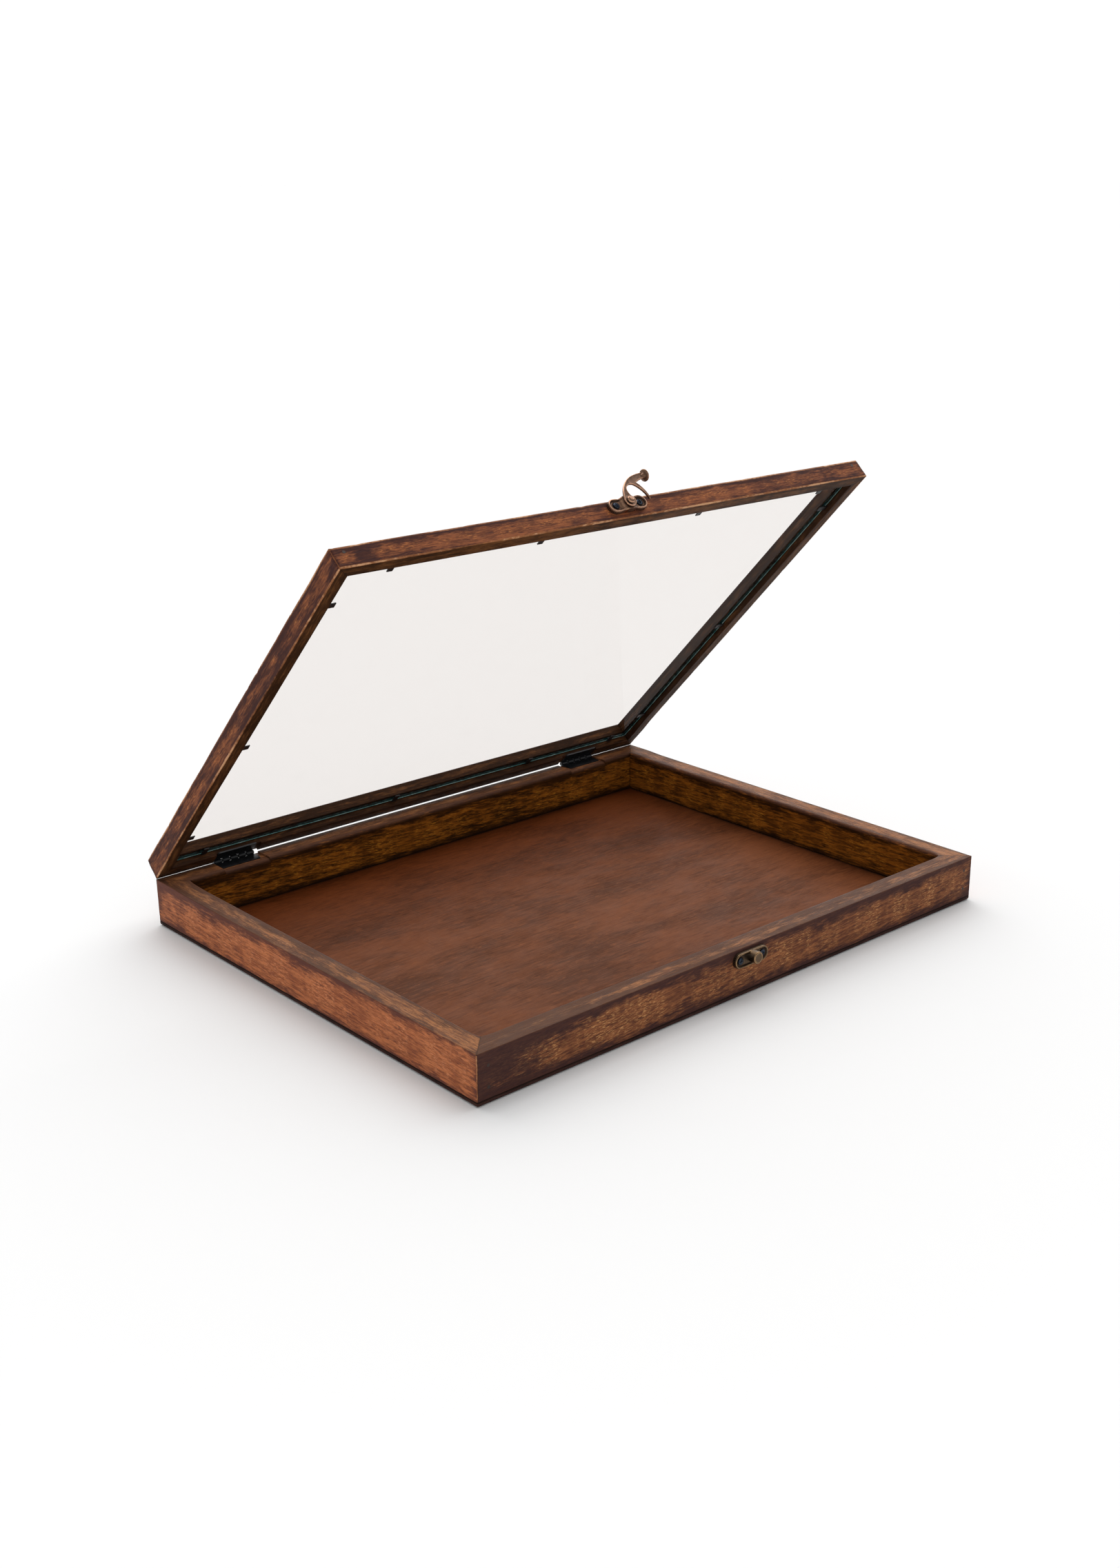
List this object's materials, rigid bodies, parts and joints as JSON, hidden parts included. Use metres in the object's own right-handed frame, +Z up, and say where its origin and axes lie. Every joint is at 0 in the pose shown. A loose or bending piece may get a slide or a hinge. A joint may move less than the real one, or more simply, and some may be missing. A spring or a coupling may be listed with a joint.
{
  "type": "glazed display tray",
  "caption": "Shallow wooden display tray for coins and small finds, with a hinged glass lid, a swing hook on the lid and a slotted catch stud on the front.",
  "frame": {"origin": "middle of the tray's underside, on the surface it stands on", "axes": "+X to the right along the hinge line, +Y to the back where the hinges are, +Z up"},
  "size_m": [0.4, 0.3268, 0.279],
  "materials": {
    "tray_wood": "red-brown stained hardwood, satin, worn light at the edges",
    "lid_wood": "red-brown stained hardwood, satin, worn light at the edges",
    "floor_board": "stained plywood board, satin",
    "clear_glass": "clear float glass with a green edge",
    "antique_bronze": "antiqued copper-bronze plating, rubbed bright at the rims",
    "black_hinge": "black japanned steel, satin",
    "black_points": "black steel strip, satin",
    "blued_screws": "blued steel, semi-gloss",
    "nail_steel": "dull wire nail, stained over"
  },
  "bodies": {
    "tray": {"tray_front_rail": "tray_wood", "tray_right_rail": "tray_wood", "tray_back_rail": "tray_wood", "tray_left_rail": "tray_wood", "tray_bottom_panel": "floor_board", "tray_corner_pins": "nail_steel", "bottom_panel_pins": "nail_steel", "left_hinge_tray_leaf": "black_hinge", "left_hinge_pin": "black_hinge", "left_hinge_tray_screws": "black_hinge", "right_hinge_tray_leaf": "black_hinge", "right_hinge_pin": "black_hinge", "right_hinge_tray_screws": "black_hinge", "catch_plate": "antique_bronze", "catch_screws": "blued_screws"},
    "lid": {"lid_front_rail": "lid_wood", "lid_right_rail": "lid_wood", "lid_back_rail": "lid_wood", "lid_left_rail": "lid_wood", "lid_glass": "clear_glass", "glazing_points_front": "black_points", "glazing_points_back": "black_points", "glazing_points_left": "black_points", "glazing_points_right": "black_points", "lid_corner_pins": "nail_steel", "left_hinge_lid_leaf": "black_hinge", "left_hinge_lid_screws": "black_hinge", "right_hinge_lid_leaf": "black_hinge", "right_hinge_lid_screws": "black_hinge", "latch_plate": "antique_bronze", "latch_rivet": "antique_bronze", "latch_screws": "blued_screws"},
    "hook": {"latch_hook": "antique_bronze"}
  },
  "joints": [
    {"name": "lid_hinge", "type": "hinge", "parent": "tray", "child": "lid", "pos_m": [0, 0.1554, 0.03], "axis": [1, 0, 0], "range_deg": [-133.3, 46.7]},
    {"name": "hook_pivot", "type": "hinge", "parent": "lid", "child": "hook", "pos_m": [-0.0024, -0.05144, 0.26159], "axis": [0, 0.6858, -0.7278], "range_deg": [-90, 112]}
  ]
}
